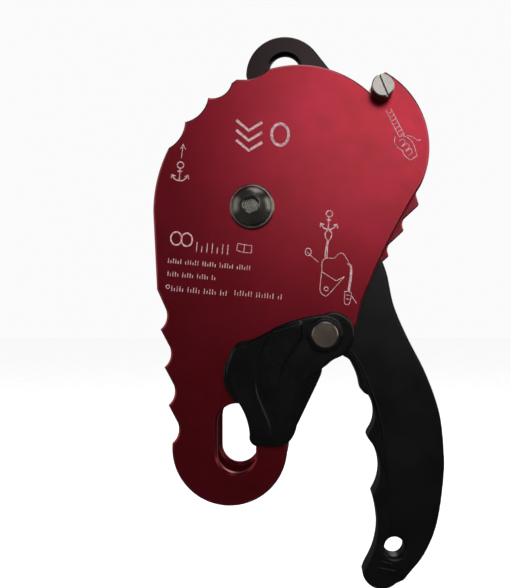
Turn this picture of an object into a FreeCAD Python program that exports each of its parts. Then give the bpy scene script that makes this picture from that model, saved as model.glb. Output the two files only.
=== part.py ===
import FreeCAD, Part
import math
import os

# Rope descender. Sizes are in millimetres.
# X runs to the right of someone facing the moving side plate, Z runs up, and Y
# runs from the moving side plate towards the fixed one. Everything is laid out
# from the main axle, then moved so that the harness slot is the origin.

V = FreeCAD.Vector
ALONG_Y = V(0, 1, 0)

# Depth stack between the two side plates.
plate_thickness = 4.0
inside_width = 18.0
face_gap = 0.4
inner_front = -inside_width / 2
outer_front = inner_front - plate_thickness
inner_rear = inside_width / 2
outer_rear = inner_rear + plate_thickness

# Fits.
running_gap = 0.05
pin_gap = 0.25
free_gap = 0.4
plate_gap = 0.3
edge_chamfer = 0.5
over = 1.0

# Countersunk screws.
screw_radius = 2.0
screw_head_radius = 3.8
screw_socket = 2.5

# Main axle.
sleeve_radius = 6.0
sleeve_spigot_radius = 5.0
sleeve_proud = 0.2
bush_wall = 1.5
bolt_radius = 4.0
sleeve_bore_radius = bolt_radius + 0.1
bolt_head_radius = 7.85
bolt_head_height = 5.0
bolt_socket_flats = 6.0
bolt_socket_depth = 3.6
bolt_socket_sink_radius = 4.3
bolt_dome_extra = 1.2
bolt_tip_proud = 1.2
main_washer_radius = 8.9
main_washer_height = 1.5
nut_flats = 13.0
nut_height = 6.4
nut_cone_height = 1.8
nut_ring_height = 1.6
nut_ring_radius = 5.4
rear_washer_radius = 9.0
rear_washer_height = 1.5
shim_radius = sleeve_radius + 4.5
shim_bore_gap = 0.1

# Side plates.
plate_corner = (43.6, -39.2)
plate_heel = (40.8, -50.6)
notch_nose = (53.4, 54.4)
plate_shoulder = (67.4, 8.4)
crown_right = (57.5, 51.6)
crown_top = (51.0, 53.6)
right_peaks = [(70.6, 5.2), (64.1, -5.9), (57.6, -17.0)]
right_valley_bend = (-7.3, -8.6)
right_valley_end = (-6.5, -6.0)
right_neck = (69.2, 9.8)
peak_radius = 1.1
valley_radius = 2.5
heel_radius = 6.0
mouth_root_radius = 4.0
plate_left_top = (-39.8, -2.0)
plate_left_low = (-38.3, -33.0)
foot_centre = (-9.0, -96.8)
foot_radius = 23.0
side_scallops = 4
side_scallop_step = (1.6, -15.2)
side_scallop_first = (-36.9, -49.0)
side_valley_bend = (2.6, 5.2)
side_valley_end = (2.2, 8.0)
crown_tip = (-6.4, 51.3)
crown_foot = (-8.4, 49.8)
crown_peaks = [(47.5, 112.0), (43.7, 128.3), (41.2, 144.5)]
crown_valley_drop = 0.9
crown_valley_lag = 7.3

# Harness slot and its mouth.
slot_x = -6.4
slot_low_z = -99.0
slot_high_z = -86.5
slot_radius = 7.8
rear_slot_x = slot_x - 1.0
rear_slot_radius = 7.8
rear_slot_chamfer = 1.3
mouth_root = (16.0, -80.0)
mouth_high_z = mouth_root[1]
mouth_low_z = -94.0
hook_tip = (foot_centre[0] + foot_radius, mouth_low_z)

# Top eye in the fixed side plate.
eye_hole = (12.2, 63.9)
eye_hole_radius = 6.7
eye_centre = (12.2, 61.5)
eye_radius = 16.9
eye_chamfer = 1.2
eye_root = (34.3, 60.9)
eye_shoulder_angle = 37.7
eye_root_radius = 8.0

# Slotted post that the moving side plate hooks over.
post_centre = (51.7, 46.3)
post_neck_radius = 3.0
post_head_radius = 4.45
post_head_height = 6.7
post_sleeve_radius = 5.0
post_thread_radius = 2.5
post_slot_width = 0.9
post_slot_depth = 1.2
post_slot_angle = -67.0
post_screw_head_radius = 4.6
post_screw_socket = 3.0

# Rope cam.
cam_radius = 22.0
cam_offset = 7.0
cam_offset_angle = 10.0
cam_width = 12.1
cam_front = inner_front + 0.8
cam_rear = cam_front + cam_width
cam_land = 0.8
cam_groove_half_width = 5.2
cam_groove_depth = 3.2
cam_teeth = 9
cam_tooth_pitch = 9.0
cam_tooth_radius = 1.0
cam_tooth_proud = 0.5
cam_swing = 28.0
cam_spring_radius = sleeve_radius + 2.5
cam_pocket_radius = cam_spring_radius + 2.0
cam_pocket_depth = 3.7
friction_washer_radius = cam_pocket_radius + 2.0
cam_spring_wire = 0.6
cam_spring_lift = 0.9
cam_spring_rise = 2.0
cam_spring_foot_angle = 150.0
cam_spring_exit_angle = 20.0
cam_spring_hole_gap = 0.2
cam_stop_radius = 14.3
cam_stop_angle = 118.0
cam_stop_pin_radius = 1.5
cam_stop_depth = 2.5

# Brake shoe under the cam.
shoe_angle = -80.0
shoe_gap = 8.0
shoe_depth = 12.0
shoe_half_angle = 20.0
shoe_screw_spread = 13.0
shoe_screw_share = 0.52
shoe_screw_reach = 9.0
shoe_groove_radius = 6.0
shoe_groove_depth = 1.4

# Handle lever and grip.
lever_rear = inner_rear - face_gap
lever_front = cam_rear + 0.5
hub_radius = 12.0
handle_overtravel = 35.0
drive_pin_radius = 2.0
drive_pin_circle = 17.0
drive_pin_angle = 5.0
drive_pin_depth = 4.0
drive_pin_proud = 3.6
grip_depth = 13.9
grip_front = lever_rear - grip_depth
grip_edge_radius = 2.2
long_grip_curve = 27.0
lanyard_hole = (58.1, -139.1)
lanyard_hole_radius = 4.0
lanyard_flare = 1.2
tip_depth = 9.5
tip_slope_top = -121.5
tip_slope_low = -130.0
grip_screw_head_radius = 3.6
grip_screw_reach = 10.0
grip_screw_spots = [(52.0, -45.0), (66.5, -80.0), (64.5, -112.0)]

# Latch.
latch_pivot = (29.0, -51.2)
latch_thickness = 4.9
latch_back = outer_front - plate_gap
latch_front = latch_back - latch_thickness
latch_pin_radius = 3.0
latch_bush_wall = 1.15
latch_bush_radius = latch_pin_radius + running_gap + latch_bush_wall
latch_pin_head_radius = latch_bush_radius + 1.0
latch_pin_head_height = 2.1
latch_pin_head_gap = 0.2
latch_pin_foot_radius = 2.5
latch_pin_foot_flare = 1.0
latch_step = 1.2
latch_crown_share = 0.93
latch_middle = (15.0, -66.0)
latch_swing = 28.0
latch_spring_radius = latch_bush_radius + 1.2
latch_spring_wire = 0.3
latch_spring_rise = 1.6
latch_spring_sink = 1.9
latch_spring_lip_angle = 230.0
latch_spring_foot_angle = 60.0
latch_spring_lip_reach = 10.6
latch_pocket_radius = latch_spring_radius + 1.0
latch_pocket_depth = 2.5
latch_stop_circle = 18.5
latch_stop_angle = 215.0
latch_stop_pin_radius = 1.2
latch_stop_pin_proud = 1.9

# Spacer that keeps the side plates apart near the harness slot.
spacer_centre = (-22.0, -62.0)
spacer_radius = 4.5
spacer_screw_reach = 8.0


def at(spot, y=0.0):
    return V(spot[0], y, spot[1])


def polar(radius, degrees, centre=(0.0, 0.0)):
    turn = math.radians(degrees)
    return (centre[0] + radius * math.cos(turn), centre[1] + radius * math.sin(turn))


def outline(start, steps):
    """Closed wire in the XZ plane: two numbers draw a line, four draw an arc through a point."""
    edges = []
    here = start
    for step in steps:
        end = (step[-2], step[-1])
        if len(step) == 4:
            edges.append(Part.Arc(at(here), at((step[0], step[1])), at(end)).toShape())
        else:
            edges.append(Part.LineSegment(at(here), at(end)).toShape())
        here = end
    if at(here).distanceToPoint(at(start)) > 1e-6:
        edges.append(Part.LineSegment(at(here), at(start)).toShape())
    return Part.Wire(edges)


def slab(wire, near, far):
    face = Part.Face(wire)
    face.translate(V(0, near, 0))
    return face.extrude(V(0, far - near, 0))


def disc(spot, radius, near, far):
    return Part.makeCylinder(radius, far - near, at(spot, near), ALONG_Y)


def ring(spot, outer, inner, near, far):
    return disc(spot, outer, near, far).cut(disc(spot, inner, near - 1, far + 1))


def cone(spot, near_radius, far_radius, near, far):
    return Part.makeCone(near_radius, far_radius, far - near, at(spot, near), ALONG_Y)


def prism(spot, flats, near, far, turn=0.0):
    corner = flats / math.sqrt(3)
    points = []
    for side in range(7):
        points.append(at(polar(corner, turn + 60 * side, spot), near))
    return Part.Face(Part.makePolygon(points)).extrude(V(0, far - near, 0))


def arc_slot(circle, start, end, half_width, near, far, centre=(0.0, 0.0)):
    """Curved slot about a centre, from one angle to another, with round ends."""
    band = ring(centre, circle + half_width, circle - half_width, near, far)
    middle = (start + end) / 2
    half = math.radians(abs(end - start) / 2)
    reach = (circle + half_width) * 3
    corners = [at(centre, near)]
    for edge in (-half, half):
        turn = math.radians(middle) + edge
        corners.append(V(centre[0] + reach * math.cos(turn), near, centre[1] + reach * math.sin(turn)))
    corners.append(at(centre, near))
    wedge = Part.Face(Part.makePolygon(corners)).extrude(V(0, far - near, 0))
    body = band.common(wedge)
    for end_angle in (start, end):
        body = body.fuse(disc(polar(circle, end_angle, centre), half_width, near, far))
    return body.removeSplitter()


def upright_slot(x, low, high, radius, near, far):
    bar = Part.makeBox(2 * radius, far - near, high - low, V(x - radius, near, low))
    ends = disc((x, low), radius, near, far).fuse(disc((x, high), radius, near, far))
    return bar.fuse(ends).removeSplitter()


def rim_edges(shape, y, inside=None):
    """Edges of a shape that lie in one XZ plane."""
    found = []
    for edge in shape.Edges:
        box = edge.BoundBox
        if abs(box.YMin - y) < 1e-4 and abs(box.YMax - y) < 1e-4:
            if inside is None or inside(edge):
                found.append(edge)
    return found


def depth_edges_at(shape, spots):
    """Edges that run along Y through any of the given spots."""
    found = []
    for edge in shape.Edges:
        box = edge.BoundBox
        if box.YLength > 0.5 and box.XLength < 1e-4 and box.ZLength < 1e-4:
            for spot in spots:
                if abs(box.XMin - spot[0]) < 1e-3 and abs(box.ZMin - spot[1]) < 1e-3:
                    found.append(edge)
    return found


def countersunk_screw(spot, radius, head_radius, head_face, tip, socket):
    """Flush hexagon socket screw whose head faces +Y."""
    sink = head_radius - radius
    body = disc(spot, radius, tip, head_face - sink)
    body = body.fuse(cone(spot, radius, head_radius, head_face - sink, head_face))
    return body.cut(prism(spot, socket, head_face - 0.9 * sink, head_face + 1))


def countersink(spot, radius, head_radius, head_face, tip, gap=0.0):
    """Space that a countersunk screw of the same sizes fills."""
    sink = head_radius - radius
    body = disc(spot, radius + gap, tip, head_face + 1)
    return body.fuse(cone(spot, radius + gap, head_radius + gap, head_face - sink, head_face))


def torsion_coil(centre, mean_radius, wire, turns, near, pitch, start_angle):
    """Plain coil about an axis along Y."""
    helix = Part.makeHelix(pitch, pitch * turns, mean_radius)
    section = Part.Wire(Part.makeCircle(wire, V(mean_radius, 0, 0), V(0, 1, 0)))
    coil = Part.Wire(helix).makePipeShell([section], True, True)
    coil.rotate(V(0, 0, 0), V(1, 0, 0), -90)
    coil.rotate(V(0, 0, 0), ALONG_Y, -start_angle)
    coil.translate(at(centre, near))
    return coil


def rod(start, end, radius):
    span = end.sub(start)
    return Part.makeCylinder(radius, span.Length, start, span)


def shifted(spot, offset):
    return (spot[0] + offset[0], spot[1] + offset[1])


def side_peaks():
    peaks = []
    for index in range(side_scallops):
        peaks.append((side_scallop_first[0] + side_scallop_step[0] * index,
                      side_scallop_first[1] + side_scallop_step[1] * index))
    return peaks


def side_steps():
    """Left side of both plates, from the crown scallops down to the foot."""
    steps = []
    for radius, angle in crown_peaks:
        valley = polar(radius - crown_valley_drop, angle - crown_valley_lag)
        steps.append(valley + polar(radius, angle))
    steps.append((-38.2, 11.5) + plate_left_top)
    steps.append(plate_left_low)
    for peak in side_peaks():
        steps.append(shifted(peak, side_valley_end))
        steps.append(shifted(peak, side_valley_bend) + peak)
    steps.append((foot_centre[0], foot_centre[1] - foot_radius,
                  foot_centre[0] + foot_radius, foot_centre[1]))
    return steps


def scallop_peaks():
    spots = []
    for radius, angle in crown_peaks:
        spots.append(polar(radius, angle))
    return spots + side_peaks()


def lower_steps():
    """Lower right edge of both plates, from the slot mouth up to the corner."""
    return [(22.5, -68.0, 30.0, -60.0), plate_heel, plate_corner]


def moving_plate_outline():
    """Runs anticlockwise from the notch, with the harness slot open to the right."""
    notch = post_neck_radius + free_gap
    post_angle = math.degrees(math.atan2(post_centre[1], post_centre[0]))
    low = polar(notch, post_angle + 180, post_centre)
    deep = polar(notch, post_angle - 90, post_centre)
    high = polar(notch, post_angle, post_centre)
    right = slot_x + slot_radius
    meet = math.sqrt(slot_radius ** 2 - (mouth_high_z - slot_high_z) ** 2)
    quarter = slot_radius * math.sqrt(0.5)
    steps = [(46.9, 46.3), (30.0, 55.7, 6.3, 55.4)]
    steps += [(3.0, 52.9, -1.8, 51.3), crown_tip, crown_foot]
    steps += side_steps()
    steps += [hook_tip, (right, mouth_low_z)]
    steps += [(right, slot_low_z), (slot_x, slot_low_z - slot_radius, right - 2 * slot_radius, slot_low_z)]
    steps += [(right - 2 * slot_radius, slot_high_z)]
    steps += [(slot_x - quarter, slot_high_z + quarter, slot_x + meet, mouth_high_z)]
    steps += [mouth_root]
    steps += lower_steps()
    steps += [(57.6, -8.4) + plate_shoulder, (71.1, 25.0) + notch_nose, (51.8, 53.2), high, deep + low]
    return outline(low, steps)


def fixed_plate_outline():
    """Runs anticlockwise from the left of the eye, with a closed harness slot."""
    steps = [(-4.9, 53.6) + crown_foot]
    steps += side_steps()
    steps += [(14.6, -88.0) + mouth_root]
    steps += lower_steps()
    steps += [(53.6, -20.6), right_peaks[2]]
    for peak in (right_peaks[1], right_peaks[0]):
        steps += [shifted(peak, right_valley_bend) + shifted(peak, right_valley_end), peak]
    steps += [right_neck, (71.0, 26.0) + crown_right]
    steps += [crown_top, eye_root, polar(eye_radius, eye_shoulder_angle, eye_centre)]
    steps += [(eye_centre[0], eye_centre[1] + eye_radius, eye_centre[0] - eye_radius, eye_centre[1])]
    return outline((eye_centre[0] - eye_radius, eye_centre[1]), steps)


def save(node, shape):
    """Move a shape so that the harness slot is the origin, then write it."""
    placed = shape.copy()
    placed.translate(V(-slot_x, 0, -(slot_low_z + slot_high_z) / 2))
    placed.exportStep("parts/" + node + ".step")


os.makedirs("parts", exist_ok=True)
axle = (0.0, 0.0)
bush_bore = sleeve_radius + running_gap
bush_radius = bush_bore + bush_wall
cam_centre = polar(cam_offset, cam_offset_angle)
cam_middle = (cam_front + cam_rear) / 2

# Moving side plate, with its harness slot open to the right.
moving_plate = slab(moving_plate_outline(), outer_front, inner_front)
round_spots = scallop_peaks() + [crown_foot, notch_nose]
moving_plate = moving_plate.makeFillet(peak_radius, depth_edges_at(moving_plate, round_spots))
moving_plate = moving_plate.makeFillet(heel_radius, depth_edges_at(moving_plate, [plate_heel]))
moving_plate = moving_plate.makeFillet(2 * peak_radius, depth_edges_at(moving_plate, [hook_tip]))
moving_plate = moving_plate.cut(disc(axle, bush_radius, outer_front - over, inner_front + over))
latch_foot = disc(latch_pivot, latch_pin_foot_radius, outer_front, inner_front)
flare_radius = latch_pin_foot_radius + latch_pin_foot_flare
flare_front = inner_front - latch_pin_foot_flare
latch_flare = cone(latch_pivot, latch_pin_foot_radius, flare_radius, flare_front, inner_front)
latch_foot = latch_foot.fuse(latch_flare)
moving_plate = moving_plate.cut(latch_foot)
latch_stop = polar(latch_stop_circle, latch_stop_angle, latch_pivot)
moving_plate = moving_plate.cut(disc(latch_stop, latch_stop_pin_radius,
                                     outer_front - over, inner_front + over))
spring_foot = polar(latch_spring_radius, latch_spring_foot_angle, latch_pivot)
spring_foot_depth = plate_thickness / 2
moving_plate = moving_plate.cut(disc(spring_foot, latch_spring_wire + latch_spring_wire / 2,
                                     outer_front - over, outer_front + spring_foot_depth))
save("moving_side_plate", moving_plate)
save("side_plate_bushing", ring(axle, bush_radius, bush_bore, outer_front, inner_front))

# Fixed side plate, with the top eye.
fixed_plate = slab(fixed_plate_outline(), inner_rear, outer_rear)
round_spots = scallop_peaks() + right_peaks + [crown_top, crown_right]
fixed_plate = fixed_plate.makeFillet(peak_radius, depth_edges_at(fixed_plate, round_spots))
valley_spots = [shifted(peak, side_valley_end) for peak in side_peaks()]
valley_spots += [shifted(peak, right_valley_end) for peak in right_peaks[:2]] + [right_neck]
fixed_plate = fixed_plate.makeFillet(valley_radius, depth_edges_at(fixed_plate, valley_spots))
fixed_plate = fixed_plate.makeFillet(eye_root_radius, depth_edges_at(fixed_plate, [eye_root]))
fixed_plate = fixed_plate.makeFillet(mouth_root_radius, depth_edges_at(fixed_plate, [mouth_root]))
fixed_plate = fixed_plate.makeFillet(heel_radius, depth_edges_at(fixed_plate, [plate_heel]))
outer_rims = rim_edges(fixed_plate, inner_rear) + rim_edges(fixed_plate, outer_rear)
fixed_plate = fixed_plate.makeChamfer(edge_chamfer, outer_rims)
eye_mouth_radius = eye_hole_radius + eye_chamfer
eye_cut = disc(eye_hole, eye_hole_radius, inner_rear - over, outer_rear + over)
eye_cut = eye_cut.fuse(cone(eye_hole, eye_mouth_radius, eye_hole_radius,
                            inner_rear, inner_rear + eye_chamfer))
eye_cut = eye_cut.fuse(cone(eye_hole, eye_hole_radius, eye_mouth_radius,
                            outer_rear - eye_chamfer, outer_rear))
fixed_plate = fixed_plate.cut(eye_cut)
rear_slot = upright_slot(rear_slot_x, slot_low_z, slot_high_z, rear_slot_radius, inner_rear, outer_rear)
fixed_plate = fixed_plate.cut(rear_slot)


def on_rear_slot(edge):
    """Is this edge part of the harness slot's rim?"""
    reach = rear_slot_radius + 0.1
    box = edge.BoundBox
    beside = box.XMin > rear_slot_x - reach and box.XMax < rear_slot_x + reach
    return beside and box.ZMax < slot_high_z + reach


slot_rims = rim_edges(fixed_plate, inner_rear, on_rear_slot)
slot_rims += rim_edges(fixed_plate, outer_rear, on_rear_slot)
fixed_plate = fixed_plate.makeChamfer(rear_slot_chamfer, slot_rims)
fixed_plate = fixed_plate.cut(disc(axle, sleeve_spigot_radius, inner_rear - over, outer_rear + over))
fixed_plate = fixed_plate.cut(countersink(post_centre, post_thread_radius, post_screw_head_radius,
                                          outer_rear, inner_rear - over))
shoe_face = cam_radius + shoe_gap
shoe_screw_middle = polar(shoe_face + shoe_depth * shoe_screw_share, shoe_angle, cam_centre)
shoe_screws = []
for side in (-1, 1):
    shoe_screws.append(polar(side * shoe_screw_spread / 2, shoe_angle + 90, shoe_screw_middle))
for spot in shoe_screws + [spacer_centre]:
    fixed_plate = fixed_plate.cut(countersink(spot, screw_radius, screw_head_radius,
                                              outer_rear, inner_rear - over))
stop_pin_spot = polar(cam_stop_radius, cam_stop_angle)
fixed_plate = fixed_plate.cut(disc(stop_pin_spot, cam_stop_pin_radius, inner_rear - over, outer_rear + over))
save("fixed_side_plate", fixed_plate)

# Main axle: sleeve, bolt, washers and nut. The cam spring's foot sits in the sleeve.
sleeve_front = outer_front - sleeve_proud
spring_level = cam_front + cam_spring_lift
hole_start = polar((sleeve_bore_radius + sleeve_spigot_radius) / 2, cam_spring_foot_angle)
hole_end = polar(sleeve_radius + over, cam_spring_foot_angle)
sleeve = disc(axle, sleeve_radius, sleeve_front, inner_rear)
sleeve = sleeve.fuse(disc(axle, sleeve_spigot_radius, inner_rear, outer_rear))
sleeve = sleeve.cut(disc(axle, sleeve_bore_radius, sleeve_front - over, outer_rear + over))
sleeve = sleeve.cut(rod(at(hole_start, spring_level), at(hole_end, spring_level),
                        cam_spring_wire + cam_spring_hole_gap))
save("main_axle_sleeve", sleeve)

washer_front = sleeve_front - main_washer_height
washer = ring(axle, main_washer_radius, sleeve_bore_radius, washer_front, sleeve_front)
outer_circle = max(rim_edges(washer, washer_front), key=lambda edge: edge.Length)
washer = washer.makeChamfer(0.4, [outer_circle])
save("main_bolt_washer", washer)

head_front = washer_front - bolt_head_height
dome_radius = (bolt_head_radius ** 2 + bolt_head_height ** 2) / (2 * bolt_head_height) + bolt_dome_extra
dome = Part.makeSphere(dome_radius, at(axle, head_front + dome_radius))
head = disc(axle, bolt_head_radius, head_front, washer_front).common(dome)
head = head.cut(cone(axle, bolt_socket_sink_radius, bolt_socket_flats / 2, head_front, head_front + 1.1))
head = head.cut(prism(axle, bolt_socket_flats, head_front - over, head_front + bolt_socket_depth, 15))
nut_front = outer_rear + rear_washer_height
nut_back = nut_front + nut_height
bolt_tip = nut_back + nut_ring_height + bolt_tip_proud
bolt = head.fuse(disc(axle, bolt_radius, washer_front, bolt_tip))
bolt = bolt.makeChamfer(edge_chamfer, rim_edges(bolt, bolt_tip))
save("main_bolt", bolt)
save("rear_washer", ring(axle, rear_washer_radius, bolt_radius + 0.2, outer_rear, nut_front))

nut_cone_start = nut_back - nut_cone_height
nut_cone = cone(axle, nut_flats / 2 + 2.2, nut_flats / 2 + 0.4, nut_cone_start, nut_back)
nut = prism(axle, nut_flats, nut_front, nut_back)
nut = nut.common(disc(axle, nut_flats, nut_front, nut_cone_start).fuse(nut_cone))
nut = nut.fuse(disc(axle, nut_flats / 2 - 0.3, nut_back, nut_back + nut_ring_height))
nut = nut.cut(disc(axle, bolt_radius, nut_front - over, nut_back + nut_ring_height + over))
insert = ring(axle, nut_ring_radius, bolt_radius, nut_back - 0.6, nut_back + nut_ring_height - 0.5)
save("main_lock_nut", nut.cut(insert))
save("lock_nut_insert", insert)

# Thin washers that keep the moving pieces apart.
shim_bore = sleeve_radius + shim_bore_gap
save("side_plate_friction_washer", ring(axle, friction_washer_radius, shim_bore,
                                       inner_front + 0.15, cam_front - 0.2))
save("lever_thrust_washer", ring(axle, shim_radius, shim_bore, lever_rear + 0.1, inner_rear))
save("cam_shim_washer", ring(axle, shim_radius, shim_bore, cam_rear + 0.05, lever_front - 0.05))

# Rope cam: a grooved bobbin set off centre on the main axle.
profile = [V(0, cam_front, 0), V(cam_radius - cam_land, cam_front, 0)]
profile.append(V(cam_radius, cam_front + cam_land, 0))
profile.append(V(cam_radius, cam_middle - cam_groove_half_width, 0))
rim = [V(cam_radius, cam_middle + cam_groove_half_width, 0), V(cam_radius, cam_rear - cam_land, 0)]
rim += [V(cam_radius - cam_land, cam_rear, 0), V(0, cam_rear, 0), V(0, cam_front, 0)]
groove = Part.Arc(profile[-1], V(cam_radius - cam_groove_depth, cam_middle, 0), rim[0]).toShape()
section = Part.Wire(Part.makePolygon(profile).Edges + [groove] + Part.makePolygon(rim).Edges)
cam = Part.Face(section).revolve(V(0, 0, 0), ALONG_Y, 360)
cam.translate(at(cam_centre))
tooth_circle = cam_radius - cam_groove_depth + cam_tooth_proud
for index in range(cam_teeth):
    tooth = polar(tooth_circle, shoe_angle + cam_tooth_pitch * (index - (cam_teeth - 1) / 2), cam_centre)
    cam = cam.cut(disc(tooth, cam_tooth_radius, cam_front - over, cam_rear + over))
pocket_floor = cam_front + cam_pocket_depth
cam = cam.cut(disc(axle, cam_pocket_radius, cam_front - over, pocket_floor))
cam = cam.cut(disc(axle, bush_radius, cam_front, cam_rear + over))
cam = cam.cut(arc_slot(cam_stop_radius, cam_stop_angle - cam_swing - 1, cam_stop_angle + 1,
                       cam_stop_pin_radius + pin_gap, cam_rear - cam_stop_depth, cam_rear + over))
drive_spot = polar(drive_pin_circle, drive_pin_angle)
cam = cam.cut(disc(drive_spot, drive_pin_radius, cam_rear - drive_pin_depth, cam_rear + over))
spring_exit_level = spring_level + cam_spring_rise
spring_exit_end = cam_pocket_radius + 4.0
cam = cam.cut(rod(at(polar(cam_spring_radius - 0.5, cam_spring_exit_angle), spring_exit_level),
                  at(polar(spring_exit_end, cam_spring_exit_angle), spring_exit_level),
                  cam_spring_wire + pin_gap))
save("rope_cam", cam)
save("cam_bushing", ring(axle, bush_radius, bush_bore, pocket_floor, cam_rear))
save("cam_drive_pin", disc(drive_spot, drive_pin_radius,
                           cam_rear - drive_pin_depth, lever_front + drive_pin_proud))
save("cam_stop_pin", disc(stop_pin_spot, cam_stop_pin_radius, cam_rear - cam_stop_depth + 0.5, outer_rear))

cam_turns = 2 + (cam_spring_exit_angle - cam_spring_foot_angle) / 360
cam_spring = torsion_coil(axle, cam_spring_radius, cam_spring_wire, cam_turns, spring_level,
                          cam_spring_rise / cam_turns, cam_spring_foot_angle)
inner_leg = rod(at(polar(cam_spring_radius, cam_spring_foot_angle), spring_level),
                at(polar((sleeve_bore_radius + sleeve_radius) / 2, cam_spring_foot_angle), spring_level),
                cam_spring_wire)
outer_leg = rod(at(polar(cam_spring_radius, cam_spring_exit_angle), spring_exit_level),
                at(polar(spring_exit_end - 0.5, cam_spring_exit_angle), spring_exit_level), cam_spring_wire)
save("cam_return_spring", cam_spring.fuse(inner_leg).fuse(outer_leg))

# Brake shoe that the cam squeezes the rope against.
shoe = ring(cam_centre, shoe_face + shoe_depth, shoe_face, inner_front + face_gap, inner_rear)
wedge_reach = 2 * (shoe_face + shoe_depth)
wedge_points = [at(cam_centre, inner_front)]
for side in (-1, 1):
    wedge_points.append(at(polar(wedge_reach, shoe_angle + side * shoe_half_angle, cam_centre), inner_front))
wedge_points.append(at(cam_centre, inner_front))
shoe = shoe.common(Part.Face(Part.makePolygon(wedge_points)).extrude(V(0, inside_width, 0)))
groove_circle = shoe_face + shoe_groove_depth - shoe_groove_radius
shoe = shoe.cut(Part.makeTorus(groove_circle, shoe_groove_radius, at(cam_centre, cam_middle), ALONG_Y))
screws = []
for spot in shoe_screws:
    shoe = shoe.cut(disc(spot, screw_radius, inner_rear - shoe_screw_reach - over, inner_rear + over))
    screws.append(countersunk_screw(spot, screw_radius, screw_head_radius, outer_rear,
                                    inner_rear - shoe_screw_reach, screw_socket))
save("brake_shoe", shoe)
save("brake_shoe_screws", Part.makeCompound(screws))

# Slotted post at the top right.
post_sleeve_front = inner_front + plate_gap
post_sleeve = ring(post_centre, post_sleeve_radius, post_thread_radius, post_sleeve_front, inner_rear)
save("post_sleeve", post_sleeve)

head_back = outer_front - plate_gap
head_face = head_back - post_head_height
post = disc(post_centre, post_head_radius, head_face, head_back)
post = post.makeChamfer(0.4, rim_edges(post, head_face))
slot_cut = Part.makeBox(4 * post_head_radius, post_slot_depth + over, post_slot_width,
                        V(-2 * post_head_radius, 0, -post_slot_width / 2))
slot_cut.rotate(V(0, 0, 0), ALONG_Y, -post_slot_angle)
slot_cut.translate(at(post_centre, head_face - over))
post = post.cut(slot_cut)
post = post.fuse(disc(post_centre, post_neck_radius, head_back, post_sleeve_front))
post = post.fuse(disc(post_centre, post_thread_radius, post_sleeve_front, -0.5))
save("slotted_post", post)
save("post_rear_screw", countersunk_screw(post_centre, post_thread_radius, post_screw_head_radius,
                                          outer_rear, 0.0, post_screw_socket))

# Spacer between the plates near the harness slot.
spacer_screw_tip = inner_rear - spacer_screw_reach
spacer = disc(spacer_centre, spacer_radius, inner_front + plate_gap, inner_rear)
spacer = spacer.cut(disc(spacer_centre, screw_radius, spacer_screw_tip - over, inner_rear + over))
save("plate_spacer", spacer)
save("spacer_screw", countersunk_screw(spacer_centre, screw_radius, screw_head_radius, outer_rear,
                                       spacer_screw_tip, screw_socket))

# Handle: a steel lever on the main axle with a moulded grip screwed to it.
lever_steps = [(19.0, 8.2), (40.0, -0.5, 50.5, -21.0), (54.8, -37.0), (61.0, -52.0)]
lever_steps += [(70.4, -80.0, 71.2, -101.0), (69.6, -113.0), (65.0, -120.0, 60.0, -114.0)]
lever_steps += [(61.0, -99.0), (60.0, -84.0, 55.2, -70.0), (45.5, -54.0), (38.4, -34.0)]
lever_steps += [(31.0, -22.0, 20.0, -16.6), polar(hub_radius, -80)]
lever = slab(outline(polar(hub_radius, 45), lever_steps), lever_front, lever_rear)
lever = lever.fuse(disc(axle, hub_radius, lever_front, lever_rear)).removeSplitter()
lever = lever.cut(disc(axle, bush_radius, lever_front - over, lever_rear + over))
lever = lever.cut(arc_slot(drive_pin_circle, drive_pin_angle + 1, drive_pin_angle - handle_overtravel - 1,
                           drive_pin_radius + pin_gap, lever_front - over, lever_rear + over))
lever_blank = lever.copy()
for spot in grip_screw_spots:
    lever = lever.cut(countersink(spot, screw_radius, grip_screw_head_radius,
                                  lever_rear, lever_front - over))
save("handle_lever", lever)
save("lever_bushing", ring(axle, bush_radius, bush_bore, lever_front, lever_rear))

outer_spots = [(64.4, -149.6), (70.6, -141.6), (75.6, -129.3), (78.3, -111.5), (78.5, -99.2)]
outer_spots += [(76.6, -83.2), (71.0, -67.2), (63.4, -52.2), (57.8, -39.0), (54.9, -25.8), (51.5, -17.0)]
outer_edge = Part.BSplineCurve()
outer_edge.interpolate([at(spot) for spot in outer_spots])
inner_steps = [(41.5, -26.0), (33.0, -44.0), (33.4, -53.0, 36.1, -59.7), (38.0, -62.8, 40.6, -64.6)]
inner_steps += [(42.5, -67.6, 42.7, -72.0), (44.2, -75.4, 46.8, -75.9), (48.9, -83.2, 45.8, -91.2)]
inner_steps += [(50.8, -102.1, 47.4, -114.3), (49.1, -129.5, 43.0, -148.2), (49.0, -155.0, 58.5, -154.2)]
inner_steps += [(62.0, -152.6) + outer_spots[0]]
inner_edges = outline(outer_spots[-1], inner_steps).Edges[:len(inner_steps)]


def is_long_curve(edge):
    """Is this edge one of the two long curves that the palm and the last finger bear on?"""
    return edge.Length > long_grip_curve


grip = slab(Part.Wire(Part.sortEdges([outer_edge.toShape()] + inner_edges)[0]), grip_front, lever_rear)
grip = grip.makeChamfer(grip_edge_radius, rim_edges(grip, grip_front, is_long_curve))

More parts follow.
